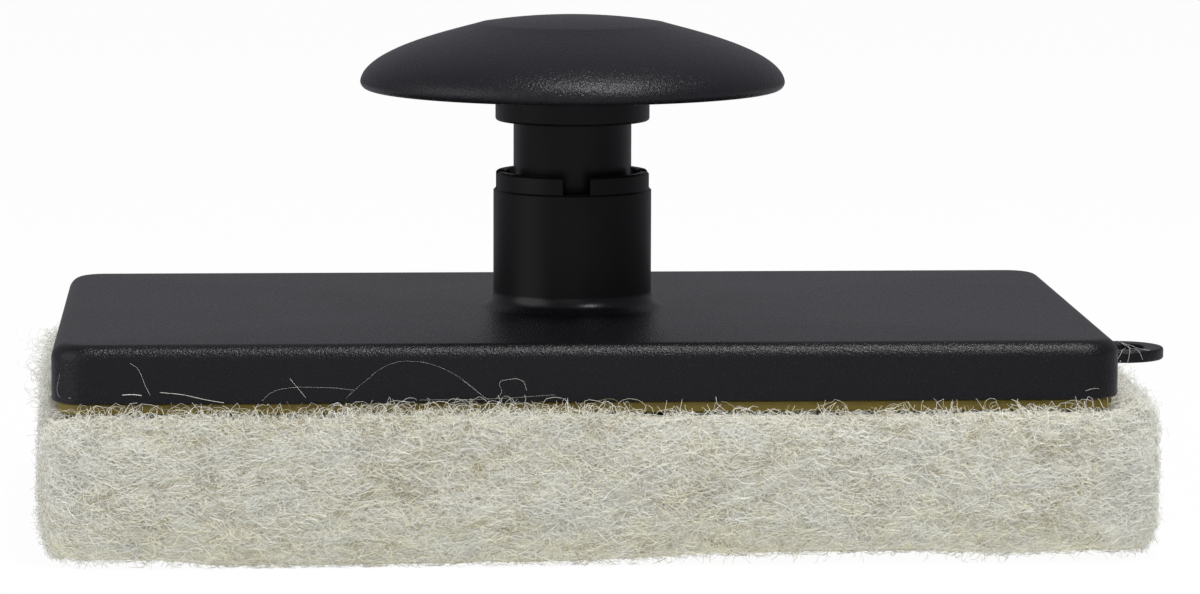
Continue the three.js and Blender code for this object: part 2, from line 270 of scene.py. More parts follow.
plateFinish = texturedBlack("texturedPlate", texturedLook, shade=1.0, sleekFrom=45.3)
# the knob is the same moulding as the plate, its tones painted 1.7 times lighter as painted light
knobPaintedLitFinish = texturedBlack("texturedKnobPaintedLit", texturedLook, shade=1.7)
socketFinish = streakedFinish("smoothSocket", smoothLook, gloss=0.17)
stemFinish = streakedFinish("smoothStem", smoothLook, gloss=0.21)
steelFinish = streakedFinish("springSteel", steelLook, metal=1.0)

# yellow sheet, and fibre: pale strands in a few plain tones, over a duller core
mustardLook = {
    "cloud": 11.111, "speck": 1.111, "depth": 0.05, "strength": 0.4, "dark": rgb(0.140, 0.110, 0.011),
    "pale": rgb(0.240, 0.172, 0.019), "fleck": rgb(0.13, 0.105, 0.018), "fleckRange": (0.55, 0.75),
    "fleckShare": 0.35, "rough": 0.48, "speckRough": 0.2}
# the core's high tone darkens its upper edge, painted shade under the plate; the low tone makes it creamier
# low down
coreLook = {
    "flatten": 2.6, "dapple": 5.263, "speck": 0.909, "depth": 0.7, "dappleShare": 0.3,
    "dull": rgb(0.50, 0.46, 0.35), "pale": rgb(0.82, 0.81, 0.74), "dappleRange": (0.35, 0.66),
    "fleck": rgb(0.92, 0.91, 0.85), "fleckRange": (0.4, 0.7), "low": rgb(0.95, 0.92, 0.72),
    "lowRange": (14, 1), "lowShare": 0.7, "high": rgb(0.46, 0.42, 0.32), "highRange": (26.5, 30.5),
    "highShare": 0.35, "rough": 0.8, "speckRough": 0.2, "gloss": 0.2}
fibreLook = {"rough": 0.6, "gloss": 0.3}
fibreTones = {"bright": rgb(0.95, 0.95, 0.90), "white": rgb(0.90, 0.90, 0.83),
              "cream": rgb(0.95, 0.925, 0.76), "tan": rgb(0.48, 0.42, 0.29)}


def mustardSheet(name, look):
    finish = newFinish(name)
    place = objectPlace(finish)
    cloud = noiseAt(place, look["cloud"], 4.0, 0.6)
    speck = noiseAt(place, look["speck"])
    tone = blendColours(cloud, look["dark"], look["pale"])
    share = smoothRange(speck, look["fleckRange"]) * look["fleckShare"]
    tone = blendColours(share, tone, look["fleck"])
    rough = look["rough"] + speck * look["speckRough"]
    return closeFinish(finish, tone, rough, bumpOf(speck, look["depth"], look["strength"]))


def coreFinish(name, look):
    finish = newFinish(name)
    place = objectPlace(finish)
    level = apart(place)[2]
    flow = vectorMath("MULTIPLY", place, (1.0, 1.0, look["flatten"]))
    dapple = noiseAt(flow, look["dapple"], 3.0, 0.65)
    speck = noiseAt(flow, look["speck"], 3.0, 0.7)
    tone = blendColours(smoothRange(dapple, look["dappleRange"]), look["dull"], look["pale"])
    tone = blendColours(smoothRange(speck, look["fleckRange"]), tone, look["fleck"])
    # creamier low down; darker along the upper edge, painted shade under the plate
    for end in ("low", "high"):
        share = smoothRange(level, look[end + "Range"], mm) * look[end + "Share"]
        tone = blendColours(share, tone, look[end])
    rough = look["rough"] + speck * look["speckRough"]
    height = speck * (1 - look["dappleShare"]) + dapple * look["dappleShare"]
    return closeFinish(finish, tone, rough, bumpOf(height, look["depth"]), look["gloss"])


def fibreFinish(name, tone, look):
    return closeFinish(newFinish(name), tone, look["rough"], gloss=look["gloss"])


sheetFinish = mustardSheet("mustardSheet", mustardLook)
padFinish = coreFinish("fibreCore", coreLook)
fibreLooks = {name: fibreFinish("fibre" + name.title(), tone, fibreLook)
              for name, tone in fibreTones.items()}
print("materials made")


# mesh helpers
def arcPoints(centre, radius, start, end, steps):
    turns = [math.radians(start + (end - start) * i / steps) for i in range(steps + 1)]
    return [(centre[0] + radius * math.cos(a), centre[1] + radius * math.sin(a)) for a in turns]


def bezierPoints(corners, steps):
    points = []
    for i in range(steps + 1):
        line = [Vector(c) for c in corners]
        while len(line) > 1:
            line = [a.lerp(b, i / steps) for a, b in zip(line, line[1:])]
        points.append(tuple(line[0]))
    return points


def ringOf(bm, points):
    return [bm.verts.new(Vector(p) * mm) for p in points]


def joinRings(bm, lower, upper):
    count = max(len(lower), len(upper))
    for i in range(count):
        j = (i + 1) % count
        corners = [ring[k % len(ring)] for ring, k in ((lower, i), (lower, j), (upper, j), (upper, i))]
        kept = list(dict.fromkeys(corners))
        if len(kept) > 2:
            bm.faces.new(kept)


def stackRings(bm, rings):
    for lower, upper in zip(rings, rings[1:]):
        joinRings(bm, lower, upper)


def turnedRings(bm, profile, steps):
    rings = []
    for radius, level in profile:
        turns = [2 * math.pi * i / steps for i in range(steps)] if radius > 0 else [0.0]
        rings.append(ringOf(bm, [(radius * math.cos(a), radius * math.sin(a), level) for a in turns]))
    stackRings(bm, rings)
    return rings


def turnedPiece(name, profile, steps=128, closed=False):
    bm = bmesh.new()
    rings = turnedRings(bm, profile, steps)
    if closed:
        joinRings(bm, rings[-1], rings[0])
    return pieceFrom(name, bm)


def insetRing(bm, sizes, inset, level, steps):
    # a ring drawn in from a rounded rectangle
    half = (sizes["length"] / 2 - inset, sizes["depth"] / 2 - inset)
    radius = sizes["corner"] - inset
    points = []
    for quarter, (sx, sy) in enumerate([(1, 1), (-1, 1), (-1, -1), (1, -1)]):
        centre = (sx * (half[0] - radius), sy * (half[1] - radius))
        points += arcPoints(centre, radius, quarter * 90, quarter * 90 + 90, steps)
    return ringOf(bm, [(x, y, level) for x, y in points])


def boxInto(bm, low, high):
    size = Vector(high) - Vector(low)
    middle = (Vector(high) + Vector(low)) / 2
    place = Matrix.Translation(middle * mm) @ Matrix.Diagonal((*(size * mm), 1.0))
    bmesh.ops.create_cube(bm, size=1.0, matrix=place)


def copyOf(node):
    bm = bmesh.new()
    bm.from_mesh(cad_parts[node].data)
    return bm


def pieceFrom(name, bm):
    bmesh.ops.remove_doubles(bm, verts=bm.verts, dist=weldGap * mm)
    bmesh.ops.recalc_face_normals(bm, faces=bm.faces)
    mesh = bpy.data.meshes.new(name)
    bm.to_mesh(mesh)
    bm.free()
    softenNormals(mesh, sharpAngle)
    return placed(name, mesh)


def softenNormals(mesh, sharp=None):
    mesh.polygons.foreach_set("use_smooth", [True] * len(mesh.polygons))
    if sharp is not None:
        mesh.set_sharp_from_angle(angle=math.radians(sharp))


def shownMesh(item):
    return bpy.data.meshes.new_from_object(item.evaluated_get(bpy.context.evaluated_depsgraph_get()))


def settleMesh(piece, sharp=None):
    # what the modifiers make becomes the piece's own plain mesh
    mesh = shownMesh(piece)
    piece.modifiers.clear()
    piece.data = mesh
    if sharp is not None:
        softenNormals(mesh, sharp)


def curveMesh(data):
    item = placed(data.name, data)
    mesh = shownMesh(item)
    bpy.data.objects.remove(item)
    return mesh


def cutAway(piece, cutters):
    for cutter in cutters:
        cut = piece.modifiers.new("cut", "BOOLEAN")
        cut.operation = "DIFFERENCE"
        cut.solver = "EXACT"
        cut.object = cutter
    settleMesh(piece, sharpAngle)
    for cutter in cutters:
        bpy.data.objects.remove(cutter)


def rodAlongY(name, radius, span, level, steps=48):
    # turned by half a step, so that no corner meets a seam of the wall it cuts
    start, end = span
    rod = turnedPiece(name, [(0, start), (radius, start), (radius, end), (0, end)], steps)
    turned = Matrix.Rotation(-math.pi / 2, 4, "X") @ Matrix.Rotation(math.pi / steps, 4, "Z")
    rod.data.transform(Matrix.Translation((0, 0, level * mm)) @ turned)
    return rod


def setFinish(piece, *finishes):
    piece.data.materials.clear()
    for finish in finishes:
        piece.data.materials.append(finish)


def dressed(piece, body, slot, replaced, *finishes):
    setFinish(piece, *finishes)
    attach(piece, body)
    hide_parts(replaced)


# geometry trees
def newTree(name, sockets):
    # the sockets' names are listed under their kinds
    tree = bpy.data.node_groups.new(name, "GeometryNodeTree")
    tree.interface.new_socket("Geometry", in_out="OUTPUT", socket_type="NodeSocketGeometry")
    for kind, names in {"Geometry": ["Geometry"], **sockets}.items():
        for socket in names:
            tree.interface.new_socket(socket, in_out="INPUT", socket_type="NodeSocket" + kind)
    start = tree.nodes.new("NodeGroupInput")
    return tree, {socket.name: Wire(tree, socket) for socket in start.outputs if socket.name}


def closeJoined(tree, given, grown):
    # what has grown joins what came in, in one finish
    joined = geoNode(tree, "JoinGeometry", [grown])
    tree.links.new(given["Geometry"].socket, joined.socket.node.inputs[0])
    real = geoNode(tree, "RealizeInstances", [joined])
    done = geoNode(tree, "SetMaterial", {"Geometry": real, "Material": given["Finish"]})
    addNode(tree, "NodeGroupOutput", [done])


def grow(piece, tree, values, sharp=None):
    modifier = piece.modifiers.new("grown", "NODES")
    modifier.node_group = tree
    for item in tree.interface.items_tree:  # a modifier's inputs go by the socket's identifier
        if item.item_type == "SOCKET" and item.in_out == "INPUT" and item.name in values:
            modifier[item.identifier] = values[item.name]
    settleMesh(piece, sharp)


# pad holder: plate with a rounded edge, a socket with a notched rim, a hanging ring
holderLow, holderHigh = boxOf("pad_holder")
plateSizes = {
    "length": -2 * holderLow[0], "depth": 2 * holderHigh[1], "bottom": holderLow[2], "top": 45.0,
    "corner": 8.0, "edge": 3.2, "lowEdge": 0.3, "sideWall": 2.4, "topWall": 2.6, "ribWidth": 1.8,
    "ribsAcross": 5, "ribsAlong": 3, "ribInset": 1.0, "ribRise": 0.2, "ribBury": 0.5, "ribHub": 16.0,
    "ribFree": 20.0}
socketSizes = {
    "radius": 16.85, "foot": 3.4, "floor": 35.5, "step": 70.3, "rimStep": 0.4, "rim": holderHigh[2],
    "rimEdge": 0.4, "mouthEdge": 0.3, "bore": 14.45, "notch": 5.8, "notchRise": 0.02, "cutPast": 2.0,
    "guides": 8, "guideWidth": 2.0, "guideTop": 67.0, "guideInner": 12.87, "guideBury": 0.6,
    "latchHole": 3.3, "latchLevel": 58.3, "latchCut": (12, 20), "nearly": 0.01}
hangerSizes = {
    "reach": holderHigh[0] + holderLow[0], "width": 18.8, "band": 4.2, "thickness": 2.5, "root": 2.5,
    "edge": 0.5, "bury": 1.2}


def holderShell(plate, socket):
    bm = bmesh.new()
    wall, edge, lowEdge, low, top = pick(plate, "sideWall edge lowEdge bottom top")
    ceiling = top - plate["topWall"]
    insets = [(wall, ceiling), (wall, low + lowEdge), (wall - lowEdge, low), (lowEdge, low),
              (0, low + lowEdge)]
    insets += arcPoints((edge, top - edge), edge, 180, 90, 10)
    rings = [insetRing(bm, plate, inset, level, 10) for inset, level in insets]
    stackRings(bm, rings)
    foot, radius, rim, bore = pick(socket, "foot radius rim bore")
    step, rimEdge, mouthEdge = pick(socket, "rimStep rimEdge mouthEdge")
    inner = radius - step
    outside = [(radius + foot, top)] + arcPoints((radius + foot, top + foot), foot, 270, 180, 12)[1:]
    outside += [(radius, socket["step"] - step), (inner, socket["step"]), (inner, rim - rimEdge),
                (inner - rimEdge, rim), (bore + mouthEdge, rim), (bore, rim - mouthEdge),
                (bore, socket["floor"]), (0, socket["floor"])]
    footRing = turnedRings(bm, outside, 128)[0]
    root = turnedRings(bm, [(radius, ceiling), (radius, low), (0, low)], 64)[0]
    for border, hole in ((rings[-1], footRing), (rings[0], root)):
        edges = [bm.edges.get((a, b)) for ring in (border, hole) for a, b in zip(ring, ring[1:] + ring[:1])]
        bmesh.ops.triangle_fill(bm, use_beauty=True, edges=edges)
    return bm


def hangerOutlines(plate, hanger):
    wall, half, root = plate["length"] / 2, hanger["width"] / 2, hanger["root"]
    centre, buried = wall + hanger["reach"] - half, wall - hanger["bury"]
    points = [(buried, -half - root), (wall, -half - root)]
    points += arcPoints((wall + root, -half - root), root, 180, 90, 6)[1:]
    points += arcPoints((centre, 0), half, -90, 90, 32)
    points += arcPoints((wall + root, half + root), root, 270, 180, 6)
    points += [(buried, half + root)]
    return points, arcPoints((centre, 0), half - hanger["band"], 0, 360, 40)[:-1]


def hangerMesh(plate, hanger):
    data = bpy.data.curves.new("hangingRing", "CURVE")
    data.dimensions = "2D"
    data.fill_mode = "BOTH"
    data.bevel_depth = hanger["edge"] * mm
    data.bevel_resolution = 3
    data.extrude = (hanger["thickness"] / 2 - hanger["edge"]) * mm
    data.offset = -hanger["edge"] * mm
    for points in hangerOutlines(plate, hanger):
        line = data.splines.new("POLY")
        line.points.add(len(points) - 1)
        for point, (x, y) in zip(line.points, points):
            point.co = (x * mm, y * mm, 0.0, 1.0)
        line.use_cyclic_u = True
    mesh = curveMesh(data)
    mesh.transform(Matrix.Translation((0, 0, (plate["bottom"] + hanger["thickness"] / 2) * mm)))
    return mesh


def ribSpans(place, end, plate):
    # a rib that would meet the socket stops short of it
    if abs(place) > plate["ribFree"]:
        return [(-end, end)]
    return [(-end, -plate["ribHub"]), (plate["ribHub"], end)]


def underRibs(bm, plate):
    low, high = plate["bottom"] + plate["ribRise"], plate["top"] - plate["topWall"] + plate["ribBury"]
    half, inset = plate["ribWidth"] / 2, plate["ribInset"]
    for i in range(1, plate["ribsAcross"] + 1):
        x = plate["length"] * (i / (plate["ribsAcross"] + 1) - 0.5)
        for start, end in ribSpans(x, plate["depth"] / 2 - inset, plate):
            boxInto(bm, (x - half, start, low), (x + half, end, high))
    for i in range(1, plate["ribsAlong"] + 1):
        y = plate["depth"] * (i / (plate["ribsAlong"] + 1) - 0.5)
        for start, end in ribSpans(y, plate["length"] / 2 - inset, plate):
            boxInto(bm, (start, y - half, low), (end, y + half, high))


def guideRibTree():
    sizes = {"Int": ["Count"], "Float": ["Radius", "Middle", "Turn"], "Vector": ["Rib size"],
             "Material": ["Finish"]}
    tree, given = newTree("guideRibs", sizes)
    circle = geoNode(tree, "MeshCircle", {"Vertices": given["Count"], "Radius": given["Radius"]})
    rib = geoNode(tree, "MeshCube", {"Size": given["Rib size"]})
    place = geoNode(tree, "InputPosition")
    turn = addNode(tree, "FunctionNodeAlignRotationToVector", {"Vector": place}, axis="X")
    ribs = geoNode(tree, "InstanceOnPoints", {"Points": circle, "Instance": rib, "Rotation": turn})
    lift, swing = together(tree, z=given["Middle"]), together(tree, z=given["Turn"])
    values = {"Geometry": ribs, "Translation": lift, "Rotation": swing}
    closeJoined(tree, given, geoNode(tree, "Transform", values))
    return tree


def smoothSocket(mesh, lowest):
    # the socket's wall above its foot has the second finish
    for face in mesh.polygons:
        bottom = min(mesh.vertices[corner].co.z for corner in face.vertices)
        face.material_index = int(bottom > lowest * mm)


def makeHolder(plate, socket, hanger):
    holder = pieceFrom("padHolderMoulding", holderShell(plate, socket))
    reach, half = socket["radius"] + socket["cutPast"], socket["notch"] / 2
    bottom, top = socket["step"] + socket["notchRise"], socket["rim"] + socket["cutPast"]
    cutters = []
    for turn in (0, 90):
        bm = bmesh.new()
        boxInto(bm, (-reach, -half, bottom), (reach, half, top))
        bmesh.ops.rotate(bm, verts=bm.verts, matrix=Matrix.Rotation(math.radians(turn), 3, "Z"))
        cutters.append(pieceFrom("notchCutter", bm))
    cutters.append(rodAlongY("latchCutter", socket["latchHole"], socket["latchCut"], socket["latchLevel"]))
    cutAway(holder, cutters)
    bm = bmesh.new()
    bm.from_mesh(holder.data)
    bm.from_mesh(hangerMesh(plate, hanger))
    underRibs(bm, plate)
    bm.to_mesh(holder.data)
    bm.free()
    inner, outer = socket["guideInner"], socket["bore"] + socket["guideBury"]
    floor, guideTop = socket["floor"], socket["guideTop"]
    values = {"Count": socket["guides"], "Radius": (inner + outer) / 2 * mm, "Finish": plateFinish,
              "Rib size": Vector((outer - inner, socket["guideWidth"], guideTop - floor)) * mm,
              "Middle": (floor + guideTop) / 2 * mm, "Turn": math.pi / socket["guides"]}
    grow(holder, guideRibTree(), values, sharpAngle)
    dressed(holder, "holder", "textured_black", "pad_holder", plateFinish, socketFinish)
    smoothSocket(holder.data, plate["top"] + socket["foot"] - socket["nearly"])


makeHolder(plateSizes, socketSizes, hangerSizes)
print("pad holder made")

# palm knob: crown, dished underside, stem with a collar, release button, latch spring
knobLow, knobHigh = boxOf("knob_shell")
knobSizes = {
    "radius": knobHigh[0], "top": knobHigh[2], "bottom": knobLow[2], "cap": 19.8, "capDrop": 1.6,
    "shoulder": (5.6, 1.7), "brow": (0.8, 6.6), "lip": 1.6, "lipWidth": 1.8, "lipEdge": 0.3, "wall": 2.6,
    "ledge": 3.4, "ledgeWidth": 2.0, "ledgeRise": 0.2, "hollow": 0.93, "boss": 7.0, "bossBottom": 95.6,
    "screwHole": 2.2, "screwTop": 104.2}
dishLow, dishHigh = boxOf("knob_underside")
dishSizes = {"face": 93.1, "edge": dishLow[2], "thickness": 2.2, "hole": 12.87, "inner": 18.43,
             "seat": 37.5, "outer": dishHigh[0], "groove": 4.0}
buttonLow, buttonHigh = boxOf("release_button")
buttonSizes = {
    "radius": 3.5, "inner": buttonLow[1], "tip": buttonHigh[1], "round": 1.0, "flange": buttonHigh[0],
    "flangeWidth": 1.2, "level": (buttonLow[2] + buttonHigh[2]) / 2, "dimple": (1.2, 1.6, 0.3)}
stemLow, stemHigh = boxOf("knob_stem")
stemSizes = {
    "radius": 12.57, "bore": 9.57, "bottom": stemLow[2], "chamfer": 1.2, "collar": stemHigh[0],
    "collarEdge": 0.6, "collarRoot": 0.4, "collarBottom": 84.8, "collarTop": 92.8, "top": stemHigh[2],
    "ceiling": 92.3, "screwHole": knobSizes["screwHole"], "studHole": socketSizes["latchHole"],
    "studLevel": socketSizes["latchLevel"], "buttonHole": 3.8, "buttonLevel": buttonSizes["level"],
    "holeCut": (4, 20)}


def makeCrown(knob):
    radius, lip, bottom, wall = pick(knob, "radius lip bottom wall")
    equator = bottom + lip
    cap, capEdge = knob["cap"], knob["top"] - knob["capDrop"]
    (reach, drop), (inset, rise) = knob["shoulder"], knob["brow"]
    crown = bezierPoints([(0, knob["top"]), (cap / 2, knob["top"]), (cap, capEdge)], 14)
    crown += bezierPoints([(cap, capEdge), (cap + reach, capEdge - drop), (radius - inset, equator + rise),
                           (radius, equator)], 40)[1:]
    outside = crown + arcPoints((radius - lip, equator), lip, 0, -90, 8)[1:]
    inner, lipEdge = radius - lip - knob["lipWidth"], knob["lipEdge"]
    ledge, shelf = bottom + knob["ledge"], inner - knob["ledgeWidth"]
    boss, hole = knob["boss"], knob["screwHole"]
    inside = [(inner + lipEdge, bottom), (inner, bottom + lipEdge), (inner, ledge), (shelf, ledge)]
    ceiling = [(across * knob["hollow"], level - wall) for across, level in reversed(crown)]
    inside += [(r, z) for r, z in ceiling if boss < r < shelf and z > ledge + knob["ledgeRise"]]
    inside += [(boss, inside[-1][1]), (boss, knob["bossBottom"]), (hole, knob["bossBottom"]),
               (hole, knob["screwTop"]), (0, knob["screwTop"])]
    shell = turnedPiece("knobCrown", outside + inside, 160)
    dressed(shell, "handle", "textured_black", "knob_shell", knobPaintedLitFinish)


def makeDish(dish):
    inner, seat, face, edge = pick(dish, "inner seat face edge")
    arch = bezierPoints([(inner, face), ((inner + seat) / 2, face + dish["groove"]), (seat, edge)], 16)
    lower = [(dish["hole"], face)] + arch + [(dish["outer"], edge)]
    upper = [(radius, level + dish["thickness"]) for radius, level in reversed(lower)]
    piece = turnedPiece("knobDish", lower + upper, closed=True)
    dressed(piece, "handle", "textured_black", "knob_underside", knobPaintedLitFinish)


def makeStem(stem):
    radius, collar, edge, root = pick(stem, "radius collar collarEdge collarRoot")
    bottom, chamfer, below, hole = pick(stem, "bottom chamfer collarBottom screwHole")
    profile = [(stem["bore"], bottom), (radius - chamfer, bottom), (radius, bottom + chamfer),
               (radius, below - root)]
    profile += arcPoints((radius + root, below - root), root, 180, 90, 3)[1:]
    profile += arcPoints((collar - edge, below + edge), edge, -90, 0, 4)
    profile += [(collar, stem["collarTop"]), (radius, stem["collarTop"]), (radius, stem["top"]),
                (hole, stem["top"]), (hole, stem["ceiling"]), (stem["bore"], stem["ceiling"])]
    piece = turnedPiece("knobStemPlug", profile, closed=True)
    cutAway(piece, [rodAlongY(name + "Cutter", stem[name + "Hole"], stem["holeCut"], stem[name + "Level"])
                    for name in ("stud", "button")])
    dressed(piece, "handle", "smooth_black", "knob_stem", stemFinish)


def makeButton(button):
    radius, tip, inner, flange = pick(button, "radius tip inner flange")
    front, (dimple, dimpleTop, deep) = inner + button["flangeWidth"], button["dimple"]
    profile = [(0, inner), (flange, inner), (flange, front), (radius, front)]
    profile += arcPoints((radius - button["round"], tip - button["round"]), button["round"], 0, 90, 6)
    profile += [(dimpleTop, tip), (dimple, tip - deep), (0, tip - deep)]
    piece = turnedPiece("releaseButton", profile, 64)
    lift = Matrix.Translation((0, 0, button["level"] * mm))
    piece.data.transform(lift @ Matrix.Rotation(-math.pi / 2, 4, "X"))
    dressed(piece, "button", "smooth_black", "release_button", stemFinish)


def makeSpring():
    # a steel copy of the imported latch spring, in its place; its front leg sits in the stem
    piece = pieceFrom("latchSpring", copyOf("latch_spring"))
    setFinish(piece, steelFinish)
    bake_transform(piece)
    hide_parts("latch_spring")


makeCrown(knobSizes)
makeDish(dishSizes)
makeStem(stemSizes)
makeButton(buttonSizes)
makeSpring()
for node in ("stem_screw", "screw_washer"):
    setFinish(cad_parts[node], steelFinish)
print("knob made")

# hook sheet: a thin sheet with a hem and rows of small bent hooks
sheetHigh = boxOf("hook_sheet")[1]
sheetSizes = {
    "length": 2 * sheetHigh[0], "depth": 2 * sheetHigh[1], "corner": 6.8, "bottom": 31.6, "top": 33.04,
    "edge": 0.25, "hem": 2.4, "hemSlope": 0.4, "hemBottom": 30.8, "margin": 4.0, "hookPitch": 2.5,
    "hookStart": (0.0, 0.0, 0.1), "hookMiddle": (0.1, 0.0, -1.505), "hookEnd": (0.5, 0.0, -0.473),
    "hookRadius": 0.14, "hookSharp": 40.0, "seed": 4}
hookEnds = ["Start", "Middle", "End"]


def hookTree():
    sizes = {"Float": ["Length", "Depth", "Level", "Radius"], "Int": ["Columns", "Rows", "Seed"],
             "Vector": hookEnds, "Material": ["Finish"]}
    tree, given = newTree("sheetHooks", sizes)
    values = {"Size X": given["Length"], "Size Y": given["Depth"], "Vertices X": given["Columns"],
              "Vertices Y": given["Rows"]}
    grid = geoNode(tree, "MeshGrid", values)
    values = {"Resolution": 4, **{end: given[end] for end in hookEnds}}
    hook = geoNode(tree, "CurveQuadraticBezier", values)
    profile = geoNode(tree, "CurvePrimitiveCircle", {"Resolution": 3, "Radius": given["Radius"]})
    hook = geoNode(tree, "CurveToMesh", {"Curve": hook, "Profile Curve": profile, "Fill Caps": True})
    spin = addNode(tree, "FunctionNodeRandomValue", {4: 0, 5: 1, 8: given["Seed"]}, 2, data_type="INT")
    values = {"Points": grid, "Instance": hook, "Rotation": together(tree, z=spin * math.pi)}
    hooks = geoNode(tree, "InstanceOnPoints", values)
    values = {"Geometry": hooks, "Translation": together(tree, z=given["Level"])}
    closeJoined(tree, given, geoNode(tree, "Transform", values))
    return tree


def makeHookSheet(sheet):
    bm = bmesh.new()
    edge, hem, low, top = pick(sheet, "edge hem hemBottom top")
    insets = [(hem + sheet["hemSlope"], sheet["bottom"]), (hem, low), (edge, low), (0, low + edge),
              (0, top - edge), (edge, top)]
    rings = [insetRing(bm, sheet, inset, level, 8) for inset, level in insets]
    stackRings(bm, rings)
    bm.faces.new(rings[0])
    bm.faces.new(rings[-1])
    piece = pieceFrom("hookSheet", bm)
    length, depth = (sheet[side] - 2 * sheet["margin"] for side in ("length", "depth"))
    values = {"Length": length * mm, "Depth": depth * mm, "Level": sheet["bottom"] * mm,
              "Columns": int(length / sheet["hookPitch"]) + 1, "Rows": int(depth / sheet["hookPitch"]) + 1,
              "Radius": sheet["hookRadius"] * mm, "Seed": sheet["seed"], "Finish": sheetFinish}
    for end in hookEnds:
        values[end] = [side * mm for side in sheet["hook" + end]]
    grow(piece, hookTree(), values, sheet["hookSharp"])
    dressed(piece, "holder", "hook_sheet", "hook_sheet", sheetFinish)


makeHookSheet(sheetSizes)
print("hook sheet made")

# scrub pad: a lofty slab of fibre, cut by hand, so no edge is quite true
padSizes = {
    "voxel": 1.5, "halfDepth": boxOf("scrub_pad")[1][1], "tuft": 9.0, "tuftReach": 0.9, "lump": 3.2,
    "lumpReach": 0.55, "lumpShift": (7, 3, 1), "flatness": 0.6, "sink": 0.7, "flare": 3.4, "puff": 2.2,
    "floor": 0.5}
padSpans = {
    "down": (0.5, 0.95), "up": (0.5, 0.9), "flare": (95, 112), "ends": (108, 112), "back": (64, 70),
    "front": (64.5, 67.0), "puff": (14, 29), "liftAhead": (50, 69), "liftUp": (0, 13)}
frontLift = [(-115, 3.2), (-101, 1.7), (-88, 1.8), (-70, 0.1), (-45, 0.4), (0, 1.2), (35, 2.6), (66, 3.0),
             (85, 2.0), (104, 2.8), (118, 2.4)]
frontPuff = [(-115, 0.15), (-60, 0.2), (-45, 0.5), (-5, 0.5), (15, 0.4), (70, 0.4), (88, 0.55), (118, 0.55)]


def eased(value, span):
    low, high = span
    share = min(max((value - low) / (high - low), 0.0), 1.0)
    return share * share * (3 - 2 * share)


def along(table, x):
    for (x0, a), (x1, b) in zip(table, table[1:]):
        if x <= x1:
            return a + (b - a) * eased(x, (x0, x1))
    return table[-1][1]


def padShape(point, normal, pad, spans):
    place = point / mm
    swell = noise.noise(place / pad["tuft"]) * pad["tuftReach"]
    swell += noise.noise(place / pad["lump"] + Vector(pad["lumpShift"])) * pad["lumpReach"]
    down, up = eased(-normal.z, spans["down"]), eased(normal.z, spans["up"])
    out = swell * (1 - pad["flatness"] * max(down, up)) - pad["sink"] * (1 - down)
    x, y, z = (place + normal * out)[:]
    x -= pad["flare"] * eased(-x, spans["flare"]) * (y / pad["halfDepth"] + 1) / 2
    front = along(frontPuff, x) * eased(-y, spans["front"])
    outside = max(eased(abs(x), spans["ends"]), eased(y, spans["back"]), front)
    z += pad["puff"] * outside * eased(z, spans["puff"])
    z += along(frontLift, x) * eased(-y, spans["liftAhead"]) * (1 - eased(z, spans["liftUp"]))
    return Vector((x, y, max(z, pad["floor"]))) * mm


def makeCore(pad, spans):
    core = pieceFrom("padCore", copyOf("scrub_pad"))
    remesh = core.modifiers.new("remesh", "REMESH")
    remesh.mode = "VOXEL"
    remesh.voxel_size = pad["voxel"] * mm
    settleMesh(core)
    mesh = core.data
    places = [(v.co.copy(), v.normal.copy()) for v in mesh.vertices]
    for vertex, (point, normal) in zip(mesh.vertices, places):
        vertex.co = padShape(point, normal, pad, spans)
    softenNormals(mesh)
    dressed(core, "pad", "fibre_pad", "scrub_pad", padFinish)
    return core


padCore = makeCore(padSizes, padSpans)
print("pad core made,", len(padCore.data.polygons), "faces")

# loose fibres: each face of the pad grows strands that lie on it, curl, and lift at their ends
footClear = 0.45
strandSizes = {
    "shortest": 2.6, "longest": 7.0, "radius": 0.078, "taper": 0.5, "root": 0.35, "curl": 5.4,
    "curlSize": 3.4, "swirlStep": 2.37, "points": 5, "liftBias": 2.5, "floor": 0.12, "ceiling": 30.62,
    "seed": 11, "seedStep": 10,
    "foot": (plateSizes["length"] / 2 + footClear, plateSizes["depth"] / 2 + footClear, 13.0)}
fibreZones = {
    "Front": {"axis": (0, -1, 0), "count": 7800, "layers": 3, "lift": 0.42, "rise": 0.42},
    "Back": {"axis": (0, 1, 0), "count": 6000, "layers": 2, "lift": 0.42, "rise": 0.42},
    "Left": {"axis": (-1, 0, 0), "count": 3700, "layers": 2, "lift": 0.4, "rise": 0.5},
    "Right": {"axis": (1, 0, 0), "count": 3700, "layers": 2, "lift": 0.4, "rise": 0.5},
    "Top": {"axis": (0, 0, 1), "count": 5000, "layers": 1, "lift": 0.5, "rise": 1.0},
    "Bottom": {"axis": (0, 0, -1), "count": 5500, "layers": 1, "lift": 0.1, "rise": 1.0},
}
fringeZones = {
    "FringeLeft": {"from": -120, "to": 8, "above": 27.6, "count": 2600, "layers": 1, "lift": 1.0,
                   "liftBias": 1.8, "rise": 1.0, "curl": 9.0, "points": 7},
    "FringeRight": {"from": 8, "to": 130, "above": 27.6, "count": 1500, "layers": 1, "lift": 0.6,
                    "liftBias": 2.2, "rise": 0.8, "curl": 9.0, "points": 7},
}
curlZones = {
    "CurlsLeft": {"from": -120, "to": 8, "count": 1150, "shortest": 0.4, "longest": 2.9, "drift": 7.0},
    "CurlsRight": {"from": 8, "to": 130, "count": 240, "shortest": 0.5, "longest": 2.8, "drift": 6.0},
}
curlSizes = {
    "above": 28.4, "radius": 0.05, "curl": 1.9, "curlSize": 2.0, "points": 16, "turns": (2.2, 7.5),
    "run": 1.35, "stand": 0.62, "sway": 0.6, "swayTurn": 0.6, "driftShare": (0.1, 1.0), "start": 0.1,
    "underRing": 32.8, "seed": 317}
